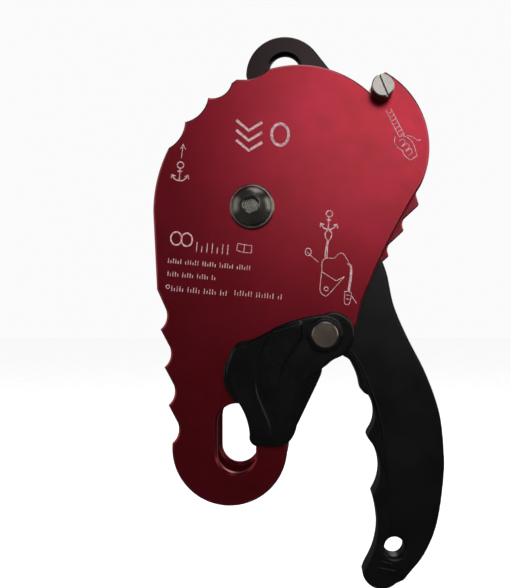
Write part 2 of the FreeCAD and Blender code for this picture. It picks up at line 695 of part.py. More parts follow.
# The tip is relieved at the back, and the lanyard hole is flared at both ends.
tip_back = grip_front + tip_depth
relief_points = [V(0, lever_rear + over, tip_slope_top), V(0, lever_rear, tip_slope_top),
                 V(0, tip_back, tip_slope_low), V(0, tip_back, 2 * tip_slope_low),
                 V(0, lever_rear + over, 2 * tip_slope_low), V(0, lever_rear + over, tip_slope_top)]
grip = grip.cut(Part.Face(Part.makePolygon(relief_points)).extrude(V(-tip_slope_low, 0, 0)))
flare_reach = lanyard_hole_radius + lanyard_flare
grip = grip.cut(disc(lanyard_hole, lanyard_hole_radius, grip_front - over, lever_rear + over))
grip = grip.cut(cone(lanyard_hole, flare_reach, lanyard_hole_radius, grip_front, grip_front + lanyard_flare))
grip = grip.cut(cone(lanyard_hole, lanyard_hole_radius, flare_reach, tip_back - lanyard_flare, tip_back))
grip = grip.cut(lever_blank)
screws = []
for spot in grip_screw_spots:
    grip = grip.cut(disc(spot, screw_radius, lever_rear - grip_screw_reach - over, lever_front + over))
    screws.append(countersunk_screw(spot, screw_radius, grip_screw_head_radius, lever_rear,
                                    lever_rear - grip_screw_reach, screw_socket))
save("handle_grip", grip)
save("grip_screws", Part.makeCompound(screws))

# Latch: a moulded gate over the slot mouth, on a shouldered pin.
latch_steps = [(18.5, -44.8, 8.6, -48.5), (3.4, -51.4, -1.4, -53.4), (-6.2, -54.8, -8.7, -59.5)]
latch_steps += [(-11.2, -68.0, -5.0, -78.4), (-2.2, -84.0, -0.8, -90.7), (0.2, -94.4, 4.0, -95.2)]
latch_steps += [(9.0, -95.7, 13.4, -94.9), (15.2, -93.2, 17.9, -87.2), (27.9, -66.6)]
latch_steps += [(30.2, -62.8, 34.0, -60.3), (39.2, -56.0, 40.4, -49.0), (36.8, -43.2, 28.5, -42.9)]
latch_edge = outline((28.5, -42.9), latch_steps)
latch_body = slab(latch_edge, latch_front + latch_step, latch_back)
latch_crown = latch_edge.copy()
latch_crown.scale(latch_crown_share, at(latch_middle))
latch_body = latch_body.fuse(slab(latch_crown, latch_front, latch_front + latch_step))
latch_body = latch_body.cut(disc(latch_pivot, latch_bush_radius, latch_front - over, latch_back + over))
pocket_floor = latch_back - latch_pocket_depth
latch_body = latch_body.cut(disc(latch_pivot, latch_pocket_radius, pocket_floor, latch_back + over))
stop_slot_front = outer_front - latch_stop_pin_proud - 2 * plate_gap
stop_slot_end = latch_stop_angle + latch_swing + 1
latch_body = latch_body.cut(arc_slot(latch_stop_circle, latch_stop_angle - 1, stop_slot_end,
                                     latch_stop_pin_radius + plate_gap, stop_slot_front, latch_back + over,
                                     latch_pivot))
coil_low = latch_back - latch_spring_sink
lip_end = polar(latch_spring_lip_reach, latch_spring_lip_angle, latch_pivot)
lip_slot_start = polar(latch_pocket_radius - 1.4, latch_spring_lip_angle, latch_pivot)
lip_slot_end = polar(latch_spring_lip_reach + free_gap, latch_spring_lip_angle, latch_pivot)
lip_slot = rod(at(lip_slot_start, coil_low), at(lip_slot_end, coil_low), 2 * latch_spring_wire)
latch_body = latch_body.cut(lip_slot)
save("latch", latch_body)
save("latch_bushing", ring(latch_pivot, latch_bush_radius, latch_pin_radius + running_gap,
                           latch_front, pocket_floor))

pin_shoulder = latch_front - latch_pin_head_gap
pin_face = pin_shoulder - latch_pin_head_height
latch_pin = disc(latch_pivot, latch_pin_head_radius, pin_face, pin_shoulder)
latch_pin = latch_pin.makeChamfer(0.5, rim_edges(latch_pin, pin_face))
latch_pin = latch_pin.fuse(disc(latch_pivot, latch_pin_radius, pin_shoulder, outer_front))
save("latch_pin", latch_pin.fuse(latch_foot))
save("latch_stop_pin", disc(latch_stop, latch_stop_pin_radius,
                            outer_front - latch_stop_pin_proud, inner_front))

latch_turns = 2 + (latch_spring_lip_angle - latch_spring_foot_angle) / 360
latch_coil = torsion_coil(latch_pivot, latch_spring_radius, latch_spring_wire, latch_turns, coil_low,
                          latch_spring_rise / latch_turns, latch_spring_lip_angle)
lip_leg = rod(at(polar(latch_spring_radius, latch_spring_lip_angle, latch_pivot), coil_low),
              at(lip_end, coil_low), latch_spring_wire)
foot_leg_end = outer_front + 0.8 * spring_foot_depth
foot_leg_start = coil_low + latch_spring_rise
foot_leg = rod(at(spring_foot, foot_leg_start), at(spring_foot, foot_leg_end), latch_spring_wire)
save("latch_spring", latch_coil.fuse(lip_leg).fuse(foot_leg))
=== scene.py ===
# %% [markdown]
# A rope descender: two red side plates around a cam, a black lever grip and a
# black latch. The frame brings in every engineered piece at its true size and
# place. The lesson then remakes the pieces that the eye rests on with softer
# edges and finer shapes, and gives every piece a finish made of nodes.

import math
import bmesh
import bpy
from mathutils import Matrix, Vector, geometry


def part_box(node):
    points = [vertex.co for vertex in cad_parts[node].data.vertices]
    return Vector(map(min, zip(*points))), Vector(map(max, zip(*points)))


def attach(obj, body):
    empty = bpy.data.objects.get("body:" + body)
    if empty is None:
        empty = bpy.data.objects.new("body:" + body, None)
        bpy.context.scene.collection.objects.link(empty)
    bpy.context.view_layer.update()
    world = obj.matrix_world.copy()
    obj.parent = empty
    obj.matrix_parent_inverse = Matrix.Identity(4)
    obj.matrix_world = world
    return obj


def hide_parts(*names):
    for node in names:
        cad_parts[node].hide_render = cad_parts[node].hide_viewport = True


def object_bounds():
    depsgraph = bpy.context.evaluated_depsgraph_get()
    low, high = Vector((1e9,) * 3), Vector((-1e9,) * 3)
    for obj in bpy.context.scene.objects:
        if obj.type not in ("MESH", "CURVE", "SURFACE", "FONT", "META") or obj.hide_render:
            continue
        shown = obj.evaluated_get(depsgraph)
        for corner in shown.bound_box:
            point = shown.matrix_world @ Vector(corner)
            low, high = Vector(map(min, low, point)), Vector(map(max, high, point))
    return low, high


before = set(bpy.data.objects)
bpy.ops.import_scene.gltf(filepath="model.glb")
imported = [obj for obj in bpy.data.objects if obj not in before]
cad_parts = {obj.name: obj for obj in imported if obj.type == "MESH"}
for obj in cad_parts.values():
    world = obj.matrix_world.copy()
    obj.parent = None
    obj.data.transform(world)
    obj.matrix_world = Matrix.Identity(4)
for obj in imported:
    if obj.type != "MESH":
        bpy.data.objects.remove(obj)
cad_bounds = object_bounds()
print("frame loaded with", len(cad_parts), "nodes")

# %% [markdown]
# All shapes are laid out in millimetres from the main axle, because every
# moving piece turns about it. The frame tells where that axle is: it is the
# middle of the sleeve that the bolt runs through.

# %% Measures from the frame
MM = 0.001


def middle(node):
    """The middle of an engineered piece, in metres."""
    low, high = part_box(node)
    return (low + high) / 2


AXLE = middle("main_axle_sleeve")


def spot_of(node):
    """Where an engineered piece stands, in millimetres right of and above the axle."""
    offset = (middle(node) - AXLE) / MM
    return (offset.x, offset.z)


def place(x, z, y=0.0):
    """A point in metres from millimetres measured off the main axle."""
    return Vector((AXLE.x + x * MM, y * MM, AXLE.z + z * MM))


def polar(radius, degrees, centre=(0.0, 0.0)):
    """A spot at a distance and an angle from a centre."""
    turn = math.radians(degrees)
    return (centre[0] + radius * math.cos(turn), centre[1] + radius * math.sin(turn))


PLATE_FRONT, PLATE_BACK = (corner.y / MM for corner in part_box("moving_side_plate"))
GRIP_FRONT, GRIP_BACK = (corner.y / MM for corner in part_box("handle_grip"))
LATCH_FRONT, LATCH_BACK = (corner.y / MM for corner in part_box("latch"))
print("axle at", [round(v / MM, 2) for v in AXLE], "mm")

# %% [markdown]
# An outline is drawn like a pencil line. A straight run extrudes the last
# vertex to the next point, an arc spins it about the centre of the circle
# through three points, and a soft run follows a smooth curve through several.

# %% Outline helpers
def circle_through(a, b, c):
    """Centre and signed turn about +Y that carries a over b to c."""
    ab, ac = b - a, c - a
    across = ab.cross(ac)
    lift = across.cross(ab) * ac.length_squared + ac.cross(across) * ab.length_squared
    centre = a + lift / (2 * across.length_squared)
    start, between, end = a - centre, b - centre, c - centre

    def turn(p, q):
        return math.atan2(p.cross(q).y, p.dot(q)) % (2 * math.pi)

    whole, part = turn(start, end), turn(start, between)
    return centre, (whole if part < whole else whole - 2 * math.pi)


def soft_run(points, pieces=10):
    """Points along a smooth curve that passes through all the given ones."""
    run = [points[0]]
    for i in range(len(points) - 1):
        before = points[max(i - 1, 0)]
        after = points[min(i + 2, len(points) - 1)]
        lead = points[i] + (points[i + 1] - before) / 6
        trail = points[i + 1] - (after - points[i]) / 6
        run += list(geometry.interpolate_bezier(points[i], lead, trail, points[i + 1], pieces))[1:]
    return run


def draw_outline(bm, start, steps, y, grain=0.9):
    """Draw and fill an outline: two numbers are a line, four an arc, a list of pairs a soft run."""
    last = first = bm.verts.new(place(start[0], start[1], y))
    for step in steps:
        if isinstance(step, list):
            for point in soft_run([last.co.copy()] + [place(p[0], p[1], y) for p in step])[1:]:
                last = bmesh.ops.extrude_vert_indiv(bm, verts=[last])["verts"][0]
                last.co = point
        elif len(step) == 4:
            a, b, c = last.co.copy(), place(step[0], step[1], y), place(step[2], step[3], y)
            centre, turn = circle_through(a, b, c)
            count = max(4, round(abs(turn) * (a - centre).length / (grain * MM)))
            made = bmesh.ops.spin(bm, geom=[last], cent=centre, axis=(0, 1, 0), angle=turn, steps=count)
            last = [v for v in made["geom_last"] if isinstance(v, bmesh.types.BMVert)][0]
        else:
            last = bmesh.ops.extrude_vert_indiv(bm, verts=[last])["verts"][0]
            last.co = place(step[0], step[1], y)
    if (last.co - first.co).length > 1e-6:
        bm.edges.new((last, first))
    bmesh.ops.remove_doubles(bm, verts=bm.verts, dist=1e-6)
    return bmesh.ops.contextual_create(bm, geom=list(bm.edges))["faces"][0]


def thicken(bm, face, depth):
    """Extrude a face along Y and point every face outwards."""
    made = bmesh.ops.extrude_face_region(bm, geom=[face])
    moved = [v for v in made["geom"] if isinstance(v, bmesh.types.BMVert)]
    bmesh.ops.translate(bm, verts=moved, vec=(0, depth * MM, 0))
    bmesh.ops.recalc_face_normals(bm, faces=bm.faces)


def slab(start, steps, near, far, grain=0.9):
    """A flat block of an outline's shape, from one depth to another."""
    bm = bmesh.new()
    thicken(bm, draw_outline(bm, start, steps, near, grain), far - near)
    return bm


def rim(bm, y):
    """Edges that lie flat at one depth."""
    return [e for e in bm.edges if all(abs(v.co.y - y * MM) < 1e-7 for v in e.verts)]


def soften(bm, edges, width, segments=2):
    """Bevel edges by a width in millimetres."""
    bmesh.ops.bevel(bm, geom=edges, offset=width * MM, offset_type="OFFSET", segments=segments,
                    profile=0.5, affect="EDGES", clamp_overlap=True, material=-1)


centre, turn = circle_through(Vector((1, 0, 0)), Vector((0, 0, 1)), Vector((-1, 0, 0)))
print("an arc over half a circle turns by", round(math.degrees(abs(turn))), "degrees")

# %% [markdown]
# A blank is a loose mesh that is cut, joined or moulded before it counts as a
# piece. Cutting uses boolean modifiers that are baked at once, so that the
# finished mesh carries no trace of its cutters.

# %% Blanks and cutters
def loose_object(name, bm):
    """An object made from a bmesh, which is used up."""
    mesh = bpy.data.meshes.new(name)
    bm.to_mesh(mesh)
    bm.free()
    made = bpy.data.objects.new(name, mesh)
    bpy.context.scene.collection.objects.link(made)
    return made


def bake_modifiers(piece):
    """Replace a piece's mesh by what its modifiers make of it."""
    graph = bpy.context.evaluated_depsgraph_get()
    made = bpy.data.meshes.new_from_object(piece.evaluated_get(graph))
    old = piece.data
    piece.modifiers.clear()
    piece.data = made
    bpy.data.meshes.remove(old)


def combine(piece, others, operation):
    """Cut loose objects from a piece or join them to it, then remove them."""
    for other in others:
        change = piece.modifiers.new("change", "BOOLEAN")
        change.operation = operation
        change.solver = "EXACT"
        change.object = other
    bake_modifiers(piece)
    for other in others:
        bpy.data.objects.remove(other)


def round_bar(name, spot, radius, near, far, far_radius=None):
    """A round bar or cone along Y."""
    bm = bmesh.new()
    bmesh.ops.create_cone(bm, cap_ends=True, segments=48, radius1=radius * MM,
                          radius2=(far_radius or radius) * MM, depth=(far - near) * MM)
    bmesh.ops.rotate(bm, verts=bm.verts, cent=(0, 0, 0), matrix=Matrix.Rotation(-math.pi / 2, 3, "X"))
    bmesh.ops.translate(bm, verts=bm.verts, vec=place(spot[0], spot[1], (near + far) / 2))
    return loose_object(name, bm)


def mould(piece, cell, rounds):
    """Remesh a blank into even cells and relax it, so that every edge rounds."""
    remesh = piece.modifiers.new("cells", "REMESH")
    remesh.mode = "VOXEL"
    remesh.voxel_size = cell * MM
    relax = piece.modifiers.new("relax", "SMOOTH")
    relax.factor = 0.5
    relax.iterations = rounds
    bake_modifiers(piece)


def finish_piece(piece, material, body, replaces=(), sharp=None):
    """Give a blank its finish, hide the engineered pieces it replaces and attach it to its body."""
    for polygon in piece.data.polygons:
        polygon.use_smooth = True
    if sharp:
        piece.data.set_sharp_from_angle(angle=math.radians(sharp))
    piece.data.materials.clear()
    piece.data.materials.append(material)
    if replaces:
        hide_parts(*replaces)
    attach(piece, body)
    print(piece.name, len(piece.data.polygons), "faces")


print("blanks can be cut, joined, moulded and finished")

# %% [markdown]
# Colours are written as the sRGB hex values that a paint chart would give and
# turned to linear light by one function. One more function adds a node with
# its settings and links, and every finish below is built with it.

# %% Colour and node helpers
def tint(code):
    """Linear colour from an sRGB hex value."""
    parts = [int(code[i:i + 2], 16) / 255 for i in (1, 3, 5)]
    return tuple(p / 12.92 if p <= 0.04045 else ((p + 0.055) / 1.055) ** 2.4 for p in parts) + (1.0,)


def grey(value):
    """An even linear grey."""
    return (value, value, value, 1.0)


def add(tree, kind, settings=None, links=None):
    """Add a node: settings go to its properties, sockets or ramp stops, links come from other sockets."""
    made = tree.nodes.new(kind)
    for key, value in (settings or {}).items():
        if key == "stops":
            elements = made.color_ramp.elements
            while len(elements) < len(value):
                elements.new(1.0)
            for i in reversed(range(len(value))):
                elements[i].position, elements[i].color = value[i]
        elif isinstance(key, str) and hasattr(made, key):
            setattr(made, key, value)
        else:
            made.inputs[key].default_value = value
    for key, source in (links or {}).items():
        tree.links.new(source, made.inputs[key])
    return made


def new_finish(name, **constants):
    """An empty material with its shader, and the object coordinates that patterns read."""
    material = bpy.data.materials.new(name)
    material.use_nodes = True
    tree = material.node_tree
    tree.nodes.clear()
    shader = add(tree, "ShaderNodeBsdfPrincipled")
    for key, value in constants.items():
        shader.inputs[key.replace("_", " ")].default_value = value
    add(tree, "ShaderNodeOutputMaterial", links={0: shader.outputs[0]})
    return material, tree, shader, add(tree, "ShaderNodeTexCoord").outputs["Object"]


def edge_rub(tree, reach, where, strength):
    """How much a spot lies on an edge that hands and ropes rub, broken up by a cloudy noise."""
    rounded = add(tree, "ShaderNodeBevel", {"samples": 4, "Radius": reach * MM})
    facing = add(tree, "ShaderNodeNewGeometry").outputs["Normal"]
    along = add(tree, "ShaderNodeVectorMath", {"operation": "DOT_PRODUCT"},
                {0: rounded.outputs[0], 1: facing})
    edge = add(tree, "ShaderNodeMapRange", {"From Min": 0.995, "From Max": 0.9},
               {"Value": along.outputs["Value"]})
    patchy = add(tree, "ShaderNodeTexNoise", {"Scale": 240.0, "Detail": 3.0}, {"Vector": where})
    broken = add(tree, "ShaderNodeMapRange", {"From Min": 0.35, "From Max": 0.65, "To Max": strength},
                 {"Value": patchy.outputs["Fac"]})
    both = add(tree, "ShaderNodeMath", {"operation": "MULTIPLY"},
               {0: edge.outputs[0], 1: broken.outputs[0]})
    return both.outputs[0]


def blend(tree, share, under, over):
    """Lay one colour over another by a share; either colour is a socket or a fixed value."""
    made = add(tree, "ShaderNodeMix", {"data_type": "RGBA"}, {0: share})
    for number, colour in ((6, under), (7, over)):
        if isinstance(colour, tuple):
            made.inputs[number].default_value = colour
        else:
            tree.links.new(colour, made.inputs[number])
    return made.outputs[2]


print("half grey in linear light:", round(tint("#808080")[0], 3))

# %% [markdown]
# The plates are aluminium, blasted with fine beads, dyed red and sealed by
# anodising. The eye gets a satin metal under a clear hard skin: soft coloured
# reflections with a faint white haze, cloudy differences in the depth of the
# dye, and paler metal where the edges have rubbed.

# %% Anodised aluminium
GRAIN_MM = 0.45  # the blasting leaves pits of about 0.1 mm; they are drawn coarser so that they show


def anodised_aluminium(name, deep, bright, rubbed):
    """Dyed and anodised aluminium, paler where its edges have rubbed."""
    material, tree, shader, where = new_finish(name, Metallic=1.0, Coat_Weight=0.7, Coat_Roughness=0.3)
    cloud = add(tree, "ShaderNodeTexNoise", {"Scale": 45.0, "Detail": 5.0, "Roughness": 0.6},
                {"Vector": where})
    dye = add(tree, "ShaderNodeValToRGB", {"stops": [(0.32, tint(deep)), (0.68, tint(bright))]},
              {0: cloud.outputs["Fac"]})
    rub = edge_rub(tree, 0.5, where, 0.55)
    colour = blend(tree, rub, dye.outputs[0], tint(rubbed))
    tree.links.new(colour, shader.inputs["Base Color"])
    smear = add(tree, "ShaderNodeTexNoise", {"Scale": 120.0, "Detail": 6.0, "Roughness": 0.7},
                {"Vector": where})
    rough = add(tree, "ShaderNodeMapRange",
                {"From Min": 0.3, "From Max": 0.7, "To Min": 0.32, "To Max": 0.4},
                {"Value": smear.outputs["Fac"]})
    tree.links.new(rough.outputs[0], shader.inputs["Roughness"])
    blast = add(tree, "ShaderNodeTexNoise", {"Scale": 1 / (GRAIN_MM * MM), "Detail": 2.0, "Roughness": 0.7},
                {"Vector": where})
    bump = add(tree, "ShaderNodeBump", {"Strength": 0.10, "Distance": 0.00008},
               {"Height": blast.outputs["Fac"]})
    tree.links.new(bump.outputs[0], shader.inputs["Normal"])
    return material, tree, shader, where, colour


red, *_ = anodised_aluminium("red anodised aluminium", "#B01026", "#BE1637", "#DE8E9A")
# The fixed plate is the same dyed aluminium as the moving plate. Its darker dye and rub colours are painted
# shade, for the shadow of the moving plate in front of it.
rear_red_in_painted_shade, tree, shader, where, colour = anodised_aluminium("red anodised aluminium with a blackened eye",
                                                           "#960C24", "#A51232", "#D58792")

# %% [markdown]
# The eye of the fixed plate is painted nearly black. This is painted shade and a painted dark reflection,
# laid over the dye by height with a cloudy border, so they start where the eye rises out of the plate.

# %% Painted shade on the eye
# The eye's darkening is painted shade and dark reflection. These two numbers set how far under the top of
# the eye it begins and where it is full.
EYE_SHADE_START, EYE_SHADE_FULL = 26 * MM, 15 * MM  # how far under the top of the eye the film begins and is full
EYE_SHADE_RAGGED = 6 * MM
eye_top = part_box("fixed_side_plate")[1].z
height = add(tree, "ShaderNodeSeparateXYZ", links={0: where}).outputs["Z"]
ragged = add(tree, "ShaderNodeTexNoise", {"Scale": 90.0, "Detail": 3.0}, {"Vector": where}).outputs["Fac"]
lifted = add(tree, "ShaderNodeMath", {"operation": "MULTIPLY_ADD", 1: EYE_SHADE_RAGGED},
             {0: ragged, 2: height}).outputs[0]
eye_shade_mask = add(tree, "ShaderNodeMapRange",
           {"From Min": eye_top - EYE_SHADE_START, "From Max": eye_top - EYE_SHADE_FULL, "To Max": 0.96},
           {"Value": lifted}).outputs[0]
tree.links.new(blend(tree, eye_shade_mask, colour, tint("#050303")), shader.inputs["Base Color"])
print("finishes:", red.name, "and", rear_red_in_painted_shade.name)

# %% [markdown]
# Steel parts differ in how they were cut. Turned faces carry fine rings about
# their own axis, ground parts a faint straight grain, and zinc is cloudy. Real
# tool marks are under 0.1 mm apart; they are drawn coarser so that they show.

# %% Steels
def steel(name, colour, light, roughness, centre=None, spacing=0.6, depth=0.03):
    """A bare metal with turned rings about a centre, or with a straight grain if it has none."""
    material, tree, shader, where = new_finish(name, Metallic=1.0)
    cloud = add(tree, "ShaderNodeTexNoise", {"Scale": 160.0, "Detail": 5.0, "Roughness": 0.65},
                {"Vector": where})
    tone = add(tree, "ShaderNodeValToRGB", {"stops": [(0.3, tint(colour)), (0.72, tint(light))]},
               {0: cloud.outputs["Fac"]})
    rub = edge_rub(tree, 0.35, where, 0.6)
    tree.links.new(blend(tree, rub, tone.outputs[0], tint("#D8D2CC")), shader.inputs["Base Color"])
    rough = add(tree, "ShaderNodeMapRange", {"To Min": roughness * 0.8, "To Max": roughness * 1.3},
                {"Value": cloud.outputs["Fac"]})
    tree.links.new(rough.outputs[0], shader.inputs["Roughness"])
    if centre is None:
        stretched = add(tree, "ShaderNodeMapping", {"Scale": (1.0, 1.0, 0.04)}, {"Vector": where})
        marks = add(tree, "ShaderNodeTexNoise", {"Scale": 1 / (spacing * MM), "Detail": 2.0},
                    {"Vector": stretched.outputs[0]})
    else:
        centred = add(tree, "ShaderNodeMapping", {"Location": tuple(-c for c in centre)}, {"Vector": where})
        ring_scale = math.pi / (10 * spacing * MM)
        marks = add(tree, "ShaderNodeTexWave", {"wave_type": "RINGS", "rings_direction": "Y",
                                                "Scale": ring_scale, "Distortion": 0.4, "Detail": 1.0},
                    {"Vector": centred.outputs[0]})
    bump = add(tree, "ShaderNodeBump", {"Strength": 0.35, "Distance": depth * MM},
               {"Height": marks.outputs["Fac"]})
    tree.links.new(bump.outputs[0], shader.inputs["Normal"])
    return material


dark_steel = steel("polished dark steel", "#7E7972", "#A9A49B", 0.24, middle("main_bolt"))
pin_steel = steel("turned stainless pin", "#82766B", "#A39587", 0.3, middle("latch_pin"))
post_steel = steel("turned stainless post", "#9E9A94", "#C3BEB6", 0.3, middle("slotted_post"))
ground_steel = steel("ground steel", "#6E6C6A", "#8D8A87", 0.34)
zinc_steel = steel("zinc plated steel", "#8E9092", "#B4B6B8", 0.4)
spring_wire = steel("drawn spring wire", "#54545A", "#74747A", 0.3)
bronze = steel("bearing bronze", "#8A5F32", "#A97C48", 0.42)
print("finishes: six steels and a bronze")

# %% [markdown]
# The grip is glass-filled nylon from a blasted mould: nearly black, with a
# fine pebbled grain that spreads the light into a soft sheen, and greyer on
# the edges that hands polish. The latch is the same plastic from a smoother
# mould. Washers and the nut's insert are white acetal.

# %% Moulded plastics
def moulded(name, colour, light, edge, roughness, pebble, depth):
    """A moulded plastic with a pebbled skin and polished edges."""
    material, tree, shader, where = new_finish(name, IOR=1.5)
    cloud = add(tree, "ShaderNodeTexNoise", {"Scale": 90.0, "Detail": 4.0}, {"Vector": where})
    tone = add(tree, "ShaderNodeValToRGB", {"stops": [(0.3, tint(colour)), (0.75, tint(light))]},
               {0: cloud.outputs["Fac"]})
    rub = edge_rub(tree, 0.8, where, 0.7)
    tree.links.new(blend(tree, rub, tone.outputs[0], tint(edge)), shader.inputs["Base Color"])
    rough = add(tree, "ShaderNodeMapRange", {"From Min": 0.3, "From Max": 0.7, "To Min": roughness - 0.05,
                                             "To Max": roughness + 0.07}, {"Value": cloud.outputs["Fac"]})
    tree.links.new(rough.outputs[0], shader.inputs["Roughness"])
    grain = add(tree, "ShaderNodeTexVoronoi", {"Scale": 1 / (pebble * MM), "feature": "SMOOTH_F1"},
                {"Vector": where})
    bump = add(tree, "ShaderNodeBump", {"Strength": 0.3, "Distance": depth * MM},
               {"Height": grain.outputs["Distance"]})
    tree.links.new(bump.outputs[0], shader.inputs["Normal"])
    return material


grip_nylon = moulded("blasted black nylon", "#030304", "#060607", "#121213", 0.34, 0.7, 0.02)
latch_nylon = moulded("smooth black nylon", "#030303", "#060606", "#121213", 0.26, 0.5, 0.008)
acetal = moulded("white acetal", "#B9B6AC", "#CFCBC0", "#D8D5CC", 0.45, 0.5, 0.02)
print("finishes: three plastics")

# %% [markdown]
# Markings are burnt in by a laser, which strips the dye and leaves pale matt
# oxide. Its tone is patchy, because the beam skips over the blasted grain.

# %% Laser marking
marking, tree, shader, where = new_finish("laser stripped oxide", Roughness=0.7)
patchy = add(tree, "ShaderNodeTexNoise", {"Scale": 1100.0, "Detail": 3.0}, {"Vector": where})
tone = add(tree, "ShaderNodeValToRGB", {"stops": [(0.35, tint("#A06A72")), (0.6, tint("#C4A9AB"))]},
           {0: patchy.outputs["Fac"]})
tree.links.new(tone.outputs[0], shader.inputs["Base Color"])
bump = add(tree, "ShaderNodeBump", {"Strength": 0.2, "Distance": 0.00002},
           {"Height": patchy.outputs["Fac"]})
tree.links.new(bump.outputs[0], shader.inputs["Normal"])
print("finish:", marking.name)

# %% [markdown]
# The moving side plate is milled from 4 mm sheet and its rim is chamfered. It
# is one outline: a round crown, gripping scallops on the left, a foot whose
# harness slot opens to the right, a straight lower right edge and a notch that
# hooks over the post. Bevelling both rims gives the thin bright edge.

# %% Side plate outline
CROWN_PEAKS = ((47.5, 112.0), (43.7, 128.3), (41.2, 144.5))  # radius and angle about the axle
CROWN_VALLEY_DROP, CROWN_VALLEY_LAG = 0.9, 7.3
SIDE_PEAK = (-36.9, -49.0)
SIDE_PEAK_STEP = (1.6, -15.2)
SIDE_PEAK_COUNT = 4
SIDE_VALLEY_END = (2.2, 8.0)
SIDE_VALLEY_BEND = (2.6, 5.2)
FOOT_CENTRE = (-9.0, -96.8)
FOOT_RADIUS = 23.0
NOTCH_RADIUS = 3.4


def left_side():
    """Crown scallops, straight flank, side scallops and the round foot."""
    steps = []
    for radius, angle in CROWN_PEAKS:
        valley = polar(radius - CROWN_VALLEY_DROP, angle - CROWN_VALLEY_LAG)
        steps.append(valley + polar(radius, angle))
    steps += [(-38.2, 11.5, -39.8, -2.0), (-38.3, -33.0)]
    for i in range(SIDE_PEAK_COUNT):
        x = SIDE_PEAK[0] + SIDE_PEAK_STEP[0] * i
        z = SIDE_PEAK[1] + SIDE_PEAK_STEP[1] * i
        steps.append((x + SIDE_VALLEY_END[0], z + SIDE_VALLEY_END[1]))
        steps.append((x + SIDE_VALLEY_BEND[0], z + SIDE_VALLEY_BEND[1], x, z))
    steps.append((FOOT_CENTRE[0], FOOT_CENTRE[1] - FOOT_RADIUS, FOOT_CENTRE[0] + FOOT_RADIUS,
                  FOOT_CENTRE[1]))
    return steps


POST = spot_of("slotted_post")
POST_ANGLE = math.degrees(math.atan2(POST[1], POST[0]))
notch_low, notch_high, notch_deep = (polar(NOTCH_RADIUS, POST_ANGLE + turn, POST) for turn in (180, 0, -90))
plate_steps = [(46.9, 46.3), (30.0, 55.7, 6.3, 55.4), (3.0, 52.9, -1.8, 51.3), (-6.4, 51.3), (-8.4, 49.8)]
plate_steps += left_side()
plate_steps += [(14.0, -95.4), (13.5, -94.1, 12.2, -94.0), (1.4, -94.0), (1.4, -99.0)]
plate_steps += [(-6.4, -106.8, -14.2, -99.0), (-14.2, -86.5), (-11.9, -81.0, -2.1, -80.0), (16.0, -80.0)]
plate_steps += [(22.5, -68.0, 30.0, -60.0), (36.5, -54.2), (41.2, -48.0, 42.0, -45.0), (43.6, -39.2)]
plate_steps += [(57.6, -8.4, 67.4, 8.4), (71.1, 25.0, 54.2, 53.9), (53.5, 54.3, 52.8, 54.0), (51.8, 53.2)]
plate_steps += [notch_high, notch_deep + notch_low]
print("side plate outline has", len(plate_steps), "runs")

# %% [markdown]
# The outline becomes a plate in three moves: it is thickened, both rims are
# bevelled, and the bores for the bush and the pins are cut through. Bevelling
# first leaves the bores with the crisp edges of drilled holes.

# %% Moving side plate
FRONT_CHAMFER, BACK_CHAMFER = 0.8, 0.45
PIN_BORE_RADIUS, PIN_BORE_FLARE = 2.5, 1.0
STOP_BORE_RADIUS = 1.2
PAST = 1.0  # how far a cutter reaches past the face it starts at
bm = slab(notch_low, plate_steps, PLATE_FRONT, PLATE_BACK)
soften(bm, rim(bm, PLATE_FRONT), FRONT_CHAMFER, 1)
soften(bm, rim(bm, PLATE_BACK), BACK_CHAMFER, 1)
side_plate = loose_object("moving_side_plate_body", bm)
BUSH_RADIUS = (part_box("side_plate_bushing")[1].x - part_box("side_plate_bushing")[0].x) / 2 / MM
LATCH_PIVOT = spot_of("latch_pin")
combine(side_plate, [
    round_bar("bush_bore", (0.0, 0.0), BUSH_RADIUS, PLATE_FRONT - PAST, PLATE_BACK + PAST),
    round_bar("pin_bore", LATCH_PIVOT, PIN_BORE_RADIUS, PLATE_FRONT - PAST, PLATE_BACK + PAST),
    round_bar("pin_flare", LATCH_PIVOT, PIN_BORE_RADIUS, PLATE_BACK - PIN_BORE_FLARE, PLATE_BACK + 0.01,
              PIN_BORE_RADIUS + PIN_BORE_FLARE),
    round_bar("stop_bore", spot_of("latch_stop_pin"), STOP_BORE_RADIUS, PLATE_FRONT - PAST,
              PLATE_BACK + PAST),
], "DIFFERENCE")
finish_piece(side_plate, red, "side_plate", ["moving_side_plate"], sharp=28)

# %% [markdown]
# The markings are drawn as pen strokes. Each stroke is a curve with a round
# section, turned into a mesh and pressed nearly flat against the plate, which
# is quicker than cutting them in and looks the same. Only plain signs are
# drawn: an arrow, two anchors, a rope through the device, a hand on a rope, an
# open book, and rows of short dashes where the real plate has lines of writing.

# %% Pen strokes
def pen(name, strokes, material, body, width, y, flat, soft=True):
    """Draw strokes at one depth as flattened tubes and merge them into one piece."""
    curve = bpy.data.curves.new(name, "CURVE")
    curve.dimensions = "3D"
    curve.bevel_depth = width / 2 * MM
    curve.bevel_resolution = 1
    curve.use_fill_caps = True
    for stroke in strokes:
        points = [place(p[0], p[1], y) for p in stroke]
        if soft and len(points) > 3:
            points = soft_run(points, 4)
        spline = curve.splines.new("POLY")
        spline.points.add(len(points) - 1)
        for point, spot in zip(spline.points, points):
            point.co = (*spot, 1.0)
    drawn = bpy.data.objects.new(name, curve)
    bpy.context.scene.collection.objects.link(drawn)
    graph = bpy.context.evaluated_depsgraph_get()
    mesh = bpy.data.meshes.new_from_object(drawn.evaluated_get(graph))
    bpy.data.objects.remove(drawn)
    bm = bmesh.new()
    bm.from_mesh(mesh)
    bpy.data.meshes.remove(mesh)
    level = Matrix.Translation((0, y * MM, 0))
    bmesh.ops.scale(bm, vec=(1, flat, 1), space=level.inverted(), verts=bm.verts)
    finish_piece(loose_object(name, bm), material, body)


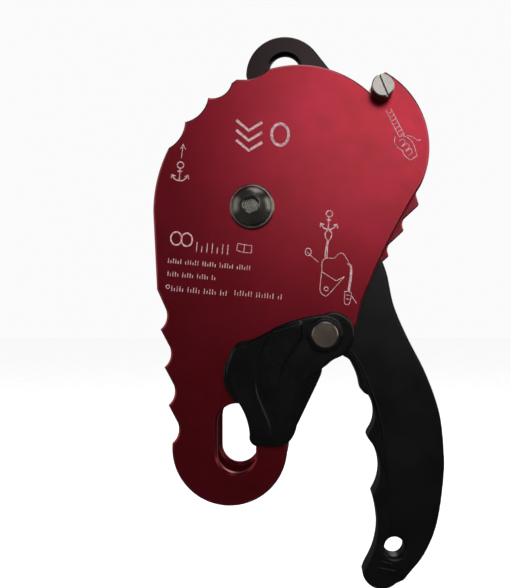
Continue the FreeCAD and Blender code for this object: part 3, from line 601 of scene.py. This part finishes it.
def loop(centre, radius, tall=None, count=16):
    """A closed ring of points, or an oval with its own half height."""
    turns = [2 * math.pi * i / count for i in range(count + 1)]
    return [(centre[0] + radius * math.cos(t), centre[1] + (tall or radius) * math.sin(t)) for t in turns]


def moved(strokes, x, z):
    """The same strokes, shifted sideways and up."""
    return [[(p[0] + x, p[1] + z) for p in stroke] for stroke in strokes]


anchor = [loop((0.0, 0.0), 1.25), [(-0.2, -1.4), (-0.5, -6.0)], [(-1.2, -2.4), (0.7, -2.6)],
          [(-3.5, -3.8), (-2.7, -5.2), (-1.7, -6.0), (-0.5, -6.2), (0.8, -6.2), (2.0, -5.4), (2.9, -4.2)],
          [(-3.7, -5.3), (-3.5, -3.7), (-2.1, -4.4)], [(3.3, -5.8), (3.0, -4.1), (1.6, -4.7)]]
arrow = [[(-28.4, 19.6), (-27.6, 25.0)], [(-28.7, 23.2), (-27.6, 25.2), (-26.7, 23.0)]]
rope_eye = [[(30.6, -9.0), (29.3, -10.4), (29.3, -12.0), (30.0, -13.6), (29.4, -17.2), (29.1, -20.5)],
            [(30.6, -9.0), (31.8, -10.4), (31.5, -12.4), (30.3, -14.4), (29.9, -20.4)]]
rope_lead = [[(38.2, -22.5), (39.4, -23.6), (39.6, -25.6), (39.3, -29.2), (38.6, -33.6)]]
device = [[(27.9, -25.2), (27.1, -32.5), (27.6, -34.4), (28.8, -35.4), (30.4, -35.1), (36.9, -27.9)],
          [(27.9, -25.2), (28.0, -22.0), (29.6, -20.5), (32.9, -20.5), (34.0, -19.2), (36.2, -18.5),
           (38.5, -21.9)],
          [(28.0, -26.0), (33.6, -29.6), (36.9, -27.9)], loop((29.6, -32.8), 0.8)]
glove = [[(37.1, -33.8), (39.5, -34.2), (39.4, -36.8), (38.6, -39.0), (37.0, -38.6), (36.9, -36.0),
          (37.1, -33.8)],
         [(37.6, -35.2), (39.0, -35.4)], [(37.6, -36.8), (39.0, -37.0)], [(39.8, -35.6), (41.8, -38.6)],
         [(21.8, -17.8), (24.0, -20.0), (26.4, -22.0)], loop((22.4, -18.0), 1.2, 1.5)]
rope = [[(53.4, 39.0), (58.7, 28.3)], [(55.5, 39.4), (61.0, 28.8)]]
rope += [[(54.3 + 0.73 * i, 37.4 - 1.52 * i), (56.1 + 0.71 * i, 38.3 - 1.48 * i)] for i in range(7)]
hand = [[(57.4, 28.2), (56.9, 26.4), (58.0, 24.1), (60.0, 22.6), (61.0, 20.6), (63.4, 18.7)],
        [(58.6, 28.0), (60.4, 28.5), (62.8, 27.4), (64.5, 25.4), (65.3, 23.0), (66.0, 20.4)],
        [(58.8, 26.4), (60.4, 27.2), (61.2, 25.8), (59.8, 24.4)],
        [(60.2, 24.2), (62.0, 25.4), (62.9, 24.0), (61.2, 22.6)],
        [(61.5, 22.2), (63.3, 23.4), (64.0, 21.8), (62.6, 20.6)],
        [(63.4, 18.7), (64.8, 19.8), (66.0, 20.4)],
        [(61.7, 28.6), (64.0, 28.2), (66.0, 26.8), (67.6, 26.9)]]
book = [[(-5.8, -14.6), (-6.2, -17.4)], [(-6.2, -17.4), (-3.4, -18.2), (-0.4, -18.4)],
        [(-0.4, -18.4), (-0.1, -15.5)],
        [(-0.1, -15.5), (-3.0, -15.1), (-5.8, -14.6)], [(-3.0, -15.1), (-3.4, -18.2)]]
SKIN = PLATE_FRONT - 0.005
fine = arrow + device + glove + rope + hand + book
pen("fine_marks", fine, marking, "side_plate", width=0.34, y=SKIN, flat=0.08)
bold = moved(anchor, -28.7, 16.8) + moved(anchor, 30.9, -2.7) + rope_eye
pen("bold_marks", bold, marking, "side_plate", width=0.55, y=SKIN, flat=0.06)
pen("rope_lead_mark", rope_lead, marking, "side_plate", width=1.1, y=SKIN, flat=0.03)

# %% [markdown]
# The rows of dashes lean down to the right, as the plate hangs a little
# turned. The big sign near the crown is three plain chevrons beside a ring.

# %% Rows of dashes
LEAN = math.radians(-5.2)
LOW_DASH = 0.62  # share of the full height that every third dash reaches
DASH_PITCH = 0.52  # share of the height from one dash to the next


def dashes(start, length, height, word):
    """Upright dashes along a leaning line, with a gap in place of the last dash of each word."""
    strokes = []
    along, count = 0.0, 0
    while along < length:
        if count % word != word - 1:
            tall = height * (LOW_DASH if count % 3 == 1 else 1.0)
            foot = (start[0] + along * math.cos(LEAN), start[1] + along * math.sin(LEAN))
            strokes.append([foot, (foot[0] - tall * math.sin(LEAN), foot[1] + tall * math.cos(LEAN))])
        along += height * DASH_PITCH
        count += 1
    return strokes


rows = dashes((-22.4, -18.0), length=13.4, height=4.0, word=9)
rows += dashes((-33.6, -22.4), length=33.0, height=1.9, word=7)
rows += dashes((-33.8, -27.6), length=19.0, height=1.9, word=6)
rows += dashes((-32.3, -33.6), length=22.0, height=2.1, word=6)
rows += dashes((-7.0, -35.4), length=18.6, height=2.1, word=8)
rows.append(loop((-33.8, -31.9), 0.7))
pen("dash_rows", rows, marking, "side_plate", width=0.4, y=SKIN, flat=0.08)
rings = [loop((-30.4, -12.6), 2.2, 2.6), loop((-26.2, -13.1), 2.2, 2.6)]
pen("ring_marks", rings, marking, "side_plate", width=0.7, y=SKIN, flat=0.05)
chevrons = [[(-6.4, 34.8 - 4.0 * i), (-1.4, 30.6 - 4.0 * i), (4.0, 33.9 - 4.0 * i)] for i in range(3)]
crown_ring = [loop((11.2, 29.0), 3.4, 4.3)]
pen("crown_chevrons", chevrons, marking, "side_plate", width=1.3, y=SKIN, flat=0.03,
    soft=False)
pen("crown_ring", crown_ring, marking, "side_plate", width=1.3, y=SKIN, flat=0.03)

# %% [markdown]
# The grip is one moulding over a steel lever. Its outer edge is a wide round
# and the finger hollows run into the flat side. The blank is a bevelled slab
# with the lever's bed cut from its back. Remeshing it into small even cells
# and relaxing them rounds every edge, as a mould does.

# %% Handle grip
grip_outer = [(70.6, -141.6), (75.6, -129.3), (78.3, -111.5), (78.5, -99.2), (76.6, -83.2),
              (71.0, -67.2), (63.4, -52.2), (57.8, -39.0), (54.9, -25.8), (51.5, -17.0)]
grip_inner = [(41.5, -26.0), (33.0, -44.0), (33.9, -53.0, 37.0, -60.2), (39.4, -61.4, 41.1, -64.0)]
grip_inner += [(43.0, -68.3, 43.9, -72.6), (45.0, -74.8, 47.4, -76.2), (50.1, -84.0, 47.2, -92.2)]
grip_inner += [(46.9, -94.0), (52.1, -105.5, 48.9, -117.8), (51.0, -132.0, 46.1, -146.9)]
grip_inner += [(44.8, -150.0), (48.8, -155.4, 58.5, -154.2), (62.0, -152.6), (64.4, -149.6)]
OUTER_ROUND, FRONT_ROUND, BACK_ROUND = 3.4, 1.3, 3.0
OUTER_REACH = 9.0  # a rim edge this near to a point of the outer curve belongs to it
OUTER_END = -146.0  # the wide round stops here, where the tip begins
bm = slab((64.4, -149.6), [grip_outer] + grip_inner, GRIP_FRONT, GRIP_BACK)


def on_outer_edge(edge):
    """Does this rim edge lie on the long outer curve of the grip, above its tip?"""
    spot = (edge.verts[0].co + edge.verts[1].co) / 2
    x, z = (spot.x - AXLE.x) / MM, (spot.z - AXLE.z) / MM
    nearest = min(grip_outer, key=lambda p: (p[0] - x) ** 2 + (p[1] - z) ** 2)
    right_of_fingers = x > 48.0 + (z + 60.0) * 0.05
    return math.dist(nearest, (x, z)) < OUTER_REACH and right_of_fingers and z > OUTER_END


soften(bm, [e for e in rim(bm, GRIP_FRONT) if on_outer_edge(e)], OUTER_ROUND, 4)
soften(bm, rim(bm, GRIP_FRONT), FRONT_ROUND, 2)
soften(bm, rim(bm, GRIP_BACK), BACK_ROUND, 3)
grip = loose_object("handle_grip_body", bm)
lever_steps = [(19.0, 8.2), (40.0, -0.5, 50.5, -21.0), (54.8, -37.0), (61.0, -52.0)]
lever_steps += [(70.4, -80.0, 71.2, -101.0), (69.6, -113.0), (65.0, -120.0, 60.0, -114.0)]
lever_steps += [(61.0, -99.0), (60.0, -84.0, 55.2, -70.0), (45.5, -54.0), (38.4, -34.0)]
lever_steps += [(31.0, -22.0, 20.0, -16.6), polar(12.0, -80)]
LEVER_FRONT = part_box("handle_lever")[0].y / MM
bed = loose_object("lever_bed", slab(polar(12.0, 45), lever_steps, LEVER_FRONT - 0.1, GRIP_BACK + 2))
LANYARD, LANYARD_RADIUS, LANYARD_FLARE = (58.1, -139.1), 4.1, 1.2
TIP_BACK = GRIP_FRONT + 9.5
SLOPE_TOP, SLOPE_LOW = -121.5, -130.0  # the back of the tip slopes down between these heights
beside = (20.0, 90.0)  # clear of the tip on both sides
below = -170.0
relief = slab((beside[0], SLOPE_TOP), [(beside[1], SLOPE_TOP), (beside[1], below), (beside[0], below)],
              TIP_BACK, GRIP_BACK + 2)
for v in relief.verts:
    if v.co.z > place(0.0, SLOPE_LOW).z and v.co.y < GRIP_BACK * MM:
        v.co.z += (SLOPE_LOW - SLOPE_TOP) * MM
flare = LANYARD_RADIUS + LANYARD_FLARE
cutters = [bed, loose_object("tip_relief", relief),
           round_bar("lanyard_bore", LANYARD, LANYARD_RADIUS, GRIP_FRONT - PAST, GRIP_BACK + PAST),
           round_bar("front_flare", LANYARD, flare, GRIP_FRONT - 0.01, GRIP_FRONT + LANYARD_FLARE,
                     LANYARD_RADIUS),
           round_bar("back_flare", LANYARD, LANYARD_RADIUS, TIP_BACK - LANYARD_FLARE, TIP_BACK + 0.01,
                     flare)]
combine(grip, cutters, "DIFFERENCE")
mould(grip, cell=0.5, rounds=10)
finish_piece(grip, grip_nylon, "handle", ["handle_grip"])

# %% [markdown]
# Two thin beads run down the face of the grip side by side, where the finger
# pad meets the body of the moulding, and two short bars stand under the lanyard
# hole. They are drawn with the same pen, but left standing nearly round.

# %% Beads on the grip
bead = [(38.6, -56.2), (42.5, -61.0), (45.4, -66.5), (48.6, -74.4), (51.4, -83.2), (53.2, -92.0),
        (54.6, -101.8), (55.4, -112.0), (55.8, -122.0), (55.4, -131.6)]
second = [(p[0] - 1.4, p[1] + 0.3) for p in bead[:-2]]
BEAD_Y = GRIP_FRONT + 0.05  # the middle of a bead lies just under the face
pen("grip_beads", [bead, second], grip_nylon, "handle", width=0.9, y=BEAD_Y, flat=0.9)
bars = [[(52.4, -144.6), (57.0, -145.9)], [(51.6, -147.4), (58.4, -148.6)]]
pen("grip_bars", bars, grip_nylon, "handle", width=1.1, y=BEAD_Y, flat=0.9)

# %% [markdown]
# The latch is a smaller moulding whose face steps down twice from left to
# right, so a thumb can push it. Its blank is a stack of three slabs with a
# boss round the pin and a facet sliced off the lower right edge. Relaxing
# melts each step into a narrow slope, and that slope catches the light.

# %% Latch
latch_steps = [(18.5, -44.8, 8.6, -48.5), (3.4, -51.4, -1.4, -53.4), (-6.2, -54.8, -8.7, -59.5)]
latch_steps += [(-11.2, -68.0, -5.0, -78.4), (-2.2, -84.0, -0.8, -90.7), (0.2, -94.4, 4.0, -95.2)]
latch_steps += [(9.0, -95.7, 13.4, -94.9), (15.2, -93.2, 17.9, -87.2), (27.9, -66.6),
                (30.2, -62.8, 34.0, -60.3)]
latch_steps += [(39.2, -56.0, 40.4, -49.0), (36.8, -43.2, 28.5, -42.9)]
FACE_STEP = 0.65
LATCH_FLOOR = LATCH_FRONT + 2 * FACE_STEP  # the lowest of the three levels of the face
LATCH_ROUND = 0.8
BOSS_RADIUS, LATCH_BORE_RADIUS = 6.6, 4.3
FACET_RIDGE, FACET_DROP = 25.8, 4.2
bm = slab((28.5, -42.9), latch_steps, LATCH_FLOOR, LATCH_BACK)
soften(bm, rim(bm, LATCH_FLOOR), LATCH_ROUND, 2)
latch = loose_object("latch_body", bm)
left_edge = [(8.6, -49.8), (3.6, -52.6), (-1.2, -54.6), (-5.6, -56.2), (-7.8, -60.2), (-9.4, -67.4),
             (-4.0, -78.8), (-1.2, -84.4), (0.2, -90.4), (1.6, -93.6), (4.4, -94.2)]
second_ridge = [(9.4, -85.2), (10.0, -75.2), (11.8, -65.7), (14.7, -59.6), (19.8, -51.8)]
first_ridge = [(7.0, -86.1), (4.5, -80.0), (2.0, -73.0), (2.0, -65.7), (3.0, -60.4), (5.4, -54.2)]
second_step = slab((19.0, -46.4), [left_edge, (8.6, -94.0), second_ridge, (19.6, -47.0)],
                   LATCH_FRONT + FACE_STEP, LATCH_BACK - PAST)
first_step = slab((8.8, -50.0), [left_edge, (7.4, -91.4), first_ridge, (7.0, -51.0)],
                  LATCH_FRONT, LATCH_BACK - PAST)
combine(latch, [loose_object("second_step", second_step), loose_object("first_step", first_step),
                round_bar("boss", LATCH_PIVOT, BOSS_RADIUS, LATCH_FRONT, LATCH_BACK - PAST)], "UNION")
bm = slab((20.4, -69.6), [(30.0, -63.0), (36.0, -70.0), (26.0, -90.0), (18.8, -86.6)],
          LATCH_FRONT - 3 * PAST, LATCH_FLOOR)
for v in bm.verts:
    if v.co.y > (LATCH_FRONT + FACE_STEP) * MM and v.co.x > place(FACET_RIDGE, 0.0).x:
        v.co.y += FACET_DROP * MM
bore = round_bar("bush_bore", LATCH_PIVOT, LATCH_BORE_RADIUS, LATCH_FRONT - PAST, LATCH_BACK + PAST)
combine(latch, [loose_object("facet", bm), bore], "DIFFERENCE")
mould(latch, cell=0.33, rounds=5)
finish_piece(latch, latch_nylon, "latch", ["latch"])

# %% [markdown]
# Every other engineered piece keeps its own shape and gets its finish.

# %% Finishes on the engineered pieces
keep = {
    rear_red_in_painted_shade: ["fixed_side_plate"],
    dark_steel: ["main_bolt", "main_bolt_washer"],
    pin_steel: ["latch_pin"],
    post_steel: ["slotted_post", "post_sleeve", "plate_spacer"],
    ground_steel: ["rope_cam", "brake_shoe", "main_axle_sleeve", "cam_stop_pin", "cam_drive_pin",
                   "latch_stop_pin", "handle_lever"],
    zinc_steel: ["rear_washer", "main_lock_nut", "brake_shoe_screws", "post_rear_screw", "spacer_screw",
                 "grip_screws"],
    spring_wire: ["cam_return_spring", "latch_spring"],
    bronze: ["side_plate_bushing", "cam_bushing", "lever_bushing", "latch_bushing", "cam_shim_washer"],
    acetal: ["lock_nut_insert", "side_plate_friction_washer", "lever_thrust_washer"],
}
for material, nodes in keep.items():
    for node in nodes:
        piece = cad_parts[node]
        piece.data.materials.clear()
        piece.data.materials.append(material)
print(sum(len(nodes) for nodes in keep.values()), "engineered pieces finished")

# %% [markdown]
# The set is a pale floor in a white surround. A high sun lights only the floor
# and matt surfaces, and the metals mirror soft panels: a large one high on the
# right, so the satin red fades from bright at the upper right to deep at the
# lower left, and weaker ones at the sides and behind.

# %% Floor and panels
bm = bmesh.new()
FLOOR_SIZE, FLOOR_DROP = 12.0, 0.05  # metres
bmesh.ops.create_grid(bm, x_segments=1, y_segments=1, size=FLOOR_SIZE)
bmesh.ops.translate(bm, verts=bm.verts, vec=(0, 0, cad_bounds[0][2] - FLOOR_DROP))
floor = loose_object("floor", bm)
floor_finish, tree, shader, where = new_finish("matt white floor", Roughness=0.9)
speckle = add(tree, "ShaderNodeTexNoise", {"Scale": 30.0}, {"Vector": where})
tone = add(tree, "ShaderNodeValToRGB", {"stops": [(0.3, tint("#F8F8F8")), (0.7, tint("#FCFCFC"))]},
           {0: speckle.outputs["Fac"]})
tree.links.new(tone.outputs[0], shader.inputs["Base Color"])
floor.data.materials.append(floor_finish)
floor.visible_glossy = False

CENTRE = place(18.0, -40.0)


def light(name, kind, direction, distance, energy, size=None, glossy=True):
    """A lamp that looks at the middle of the object from a direction. A panel's energy is per area."""
    lamp = bpy.data.lights.new(name, kind)
    lamp.energy = energy
    if size:
        lamp.shape = "RECTANGLE"
        lamp.size, lamp.size_y = size
        lamp.energy = energy * math.pi * size[0] * size[1]
    holder = bpy.data.objects.new(name, lamp)
    toward = Vector(direction).normalized()
    holder.location = CENTRE + toward * distance
    holder.rotation_euler = toward.to_track_quat("Z", "Y").to_euler()
    holder.visible_camera = False
    holder.visible_glossy = glossy
    bpy.context.scene.collection.objects.link(holder)
    return lamp


sun = light("floor sun", "SUN", (0, 0, 1), distance=2.0, energy=3.2, glossy=False)
sun.angle = 0.6
light("key panel", "AREA", (0.22, -1.0, 0.46), distance=1.1, energy=1.7, size=(0.6, 0.5))
light("left panel", "AREA", (-1.0, 0.0, 0.25), distance=1.0, energy=0.45, size=(0.8, 0.8))
light("right panel", "AREA", (1.0, 0.05, 0.35), distance=1.0, energy=0.9, size=(0.8, 0.8))
light("top panel", "AREA", (0.1, 0.1, 1.0), distance=1.0, energy=0.9, size=(0.8, 0.6))
light("back panel", "AREA", (0.3, 1.0, 0.5), distance=1.1, energy=1.0, size=(0.8, 0.6))
light("front fill", "AREA", (-0.2, -1.0, 0.3), distance=1.2, energy=1.2, size=(1.0, 1.0), glossy=False)
print("floor", round(FLOOR_DROP / MM), "mm under the object, lamps:", len(bpy.data.lights))

# %% [markdown]
# The camera sees a nearly white surround, but surfaces are lit by it only
# faintly. A light path node picks between the two, so the background stays
# clean while the panels alone shape the reflections.

# %% World
world = bpy.data.worlds.new("studio")
bpy.context.scene.world = world
world.use_nodes = True
tree = world.node_tree
tree.nodes.clear()
seen = add(tree, "ShaderNodeBackground", {"Color": grey(1.0), "Strength": 0.96})
felt = add(tree, "ShaderNodeBackground", {"Color": grey(1.0), "Strength": 0.06})
ray = add(tree, "ShaderNodeLightPath")
choice = add(tree, "ShaderNodeMixShader",
             links={0: ray.outputs["Is Camera Ray"], 1: felt.outputs[0], 2: seen.outputs[0]})
add(tree, "ShaderNodeOutputWorld", links={0: choice.outputs[0]})
print("world:", world.name)

# %% [markdown]
# The camera looks straight at the plates from about a quarter of a metre, a
# little right of the axle and below it.

# %% Camera
EYE_RIGHT, EYE_HEIGHT, EYE_DISTANCE = 23.2, -49.2, 255.0  # from the axle, and from the plate's face
camera = bpy.data.cameras.new("camera")
camera.sensor_width = 36.0
camera.lens = 39.0
camera.shift_x = -0.093
camera.shift_y = 0.061
camera.clip_start = 0.01
holder = bpy.data.objects.new("camera", camera)
holder.location = place(EYE_RIGHT, EYE_HEIGHT, PLATE_FRONT - EYE_DISTANCE)
holder.rotation_euler = (math.pi / 2, 0, 0)
bpy.context.scene.collection.objects.link(holder)
bpy.context.scene.camera = holder
bpy.context.scene.view_settings.view_transform = "Standard"
print("camera at", [round(v / MM, 1) for v in holder.location], "mm")

# %% [markdown]
# The last step says that the scene is built.

# %% Finish
print("scene built")
